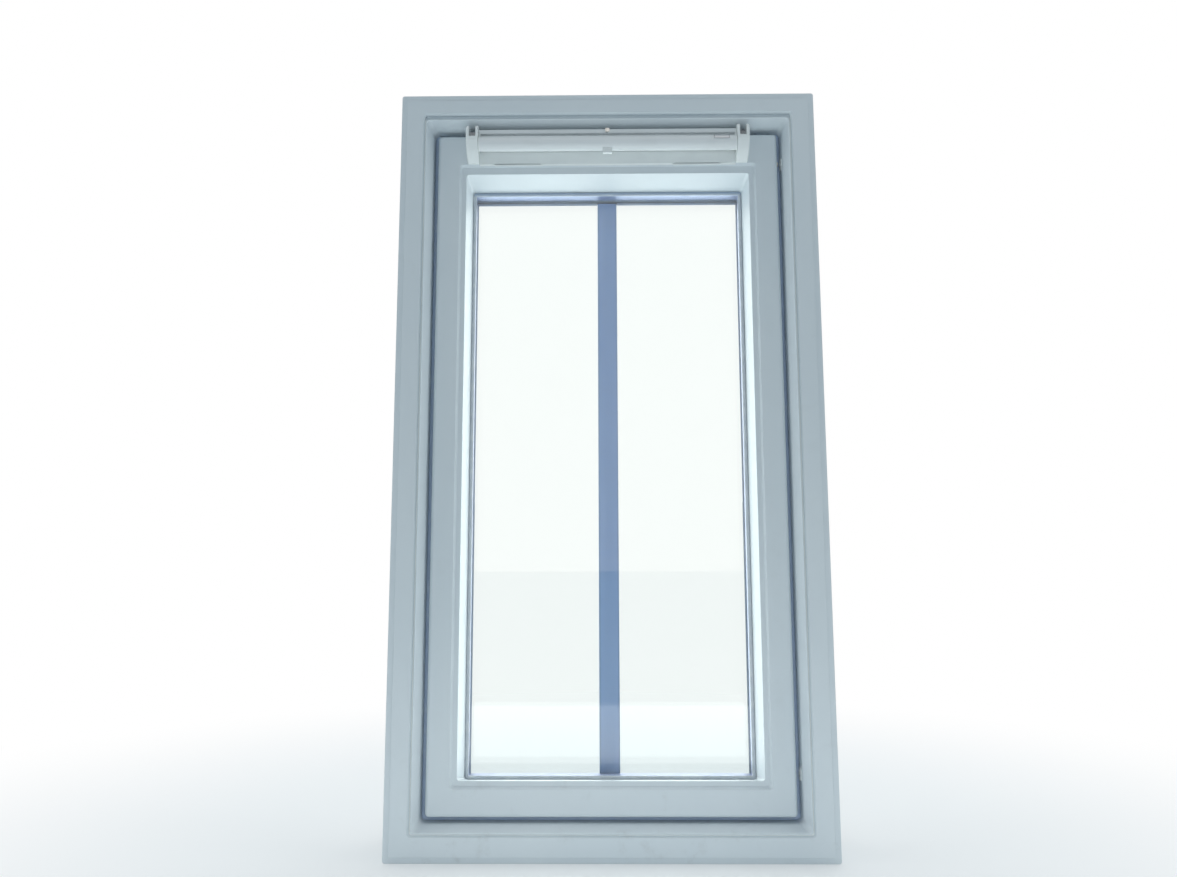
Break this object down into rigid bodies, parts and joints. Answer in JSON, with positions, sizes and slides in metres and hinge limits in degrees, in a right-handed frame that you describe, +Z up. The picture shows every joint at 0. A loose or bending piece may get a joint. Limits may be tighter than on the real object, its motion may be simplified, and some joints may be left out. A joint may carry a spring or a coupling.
{
  "type": "roof skylight",
  "caption": "Centre-pivot roof window of white moulded polyurethane with insulating glass, a control bar with ventilation flap and metal outside covers.",
  "frame": {"origin": "middle of the outer frame's underside, half way through its depth", "axes": "+X to the right as seen from the room, +Y from the room to the outside, +Z up along the window's height"},
  "size_m": [0.5564, 0.112, 0.9812],
  "materials": {
    "white_moulding": "satin",
    "white_bar": "satin",
    "white_plastic": "satin",
    "cover_grey": "matte",
    "hinge_steel": "zinc plated",
    "lock_steel": "zinc plated",
    "spring_steel": "phosphated",
    "plate_metal": "satin",
    "spacer_metal": "satin",
    "seal_rubber": "matte",
    "gasket_grey": "matte",
    "filter_foam": "open foam",
    "pane_glass": "clear"
  },
  "bodies": {
    "frame": {"outer_frame": "white_moulding", "frame_seal": "seal_rubber", "striker_plate": "lock_steel", "bolt_bushes": "white_plastic", "frame_hinge_left": "hinge_steel", "frame_hinge_right": "hinge_steel", "frame_top_cover": "cover_grey", "frame_side_cover_left": "cover_grey", "frame_side_cover_right": "cover_grey", "frame_lower_cover_left": "cover_grey", "frame_lower_cover_right": "cover_grey", "frame_bottom_cover": "cover_grey", "cover_screws": "hinge_steel"},
    "sash": {"sash_frame": "white_moulding", "head_cover": "white_moulding", "inner_pane": "pane_glass", "outer_pane": "pane_glass", "pane_spacer": "spacer_metal", "glazing_gasket": "gasket_grey", "glazing_bar": "cover_grey", "vent_filter_left": "filter_foam", "vent_filter_right": "filter_foam", "lock_case": "lock_steel", "bolt_sleeve": "lock_steel", "sash_hinge_left": "hinge_steel", "sash_hinge_right": "hinge_steel", "bar_bracket_left": "white_plastic", "bar_bracket_right": "white_plastic", "bar_spring_right": "spring_steel", "bar_spring_left": "spring_steel", "glazing_cover_left": "cover_grey", "glazing_cover_right": "cover_grey", "glazing_cover_top": "cover_grey", "sash_side_cover_left": "cover_grey", "sash_side_cover_right": "cover_grey", "sash_bottom_cover": "cover_grey", "cover_clips": "white_plastic"},
    "bar": {"control_bar": "white_bar", "vent_flap": "white_bar", "flap_tongue": "lock_steel", "bar_cap_left": "white_plastic", "bar_cap_right": "white_plastic", "bar_tab": "white_plastic", "id_plate": "plate_metal"},
    "latch": {"latch_bolt": "lock_steel"},
    "barrel_bolt": {"barrel_bolt": "lock_steel"}
  },
  "joints": [
    {"name": "sash_pivot", "type": "hinge", "parent": "frame", "child": "sash", "pos_m": [0, 0.05, 0.494], "axis": [1, 0, 0], "range_deg": [0, 160]},
    {"name": "bar_turn", "type": "hinge", "parent": "sash", "child": "bar", "pos_m": [0, -0.038, 0.926], "axis": [-1, 0, 0], "range_deg": [0, 45]},
    {"name": "latch_slide", "type": "slide", "parent": "sash", "child": "latch", "axis": [0, 0, -1], "range_m": [0, 0.009]},
    {"name": "bolt_slide", "type": "slide", "parent": "sash", "child": "barrel_bolt", "axis": [1, 0, 0], "range_m": [0, 0.014]}
  ],
  "couplings": [
    {"joint": "latch_slide", "follows": "bar_turn", "m_per_rad": 0.011459}
  ]
}
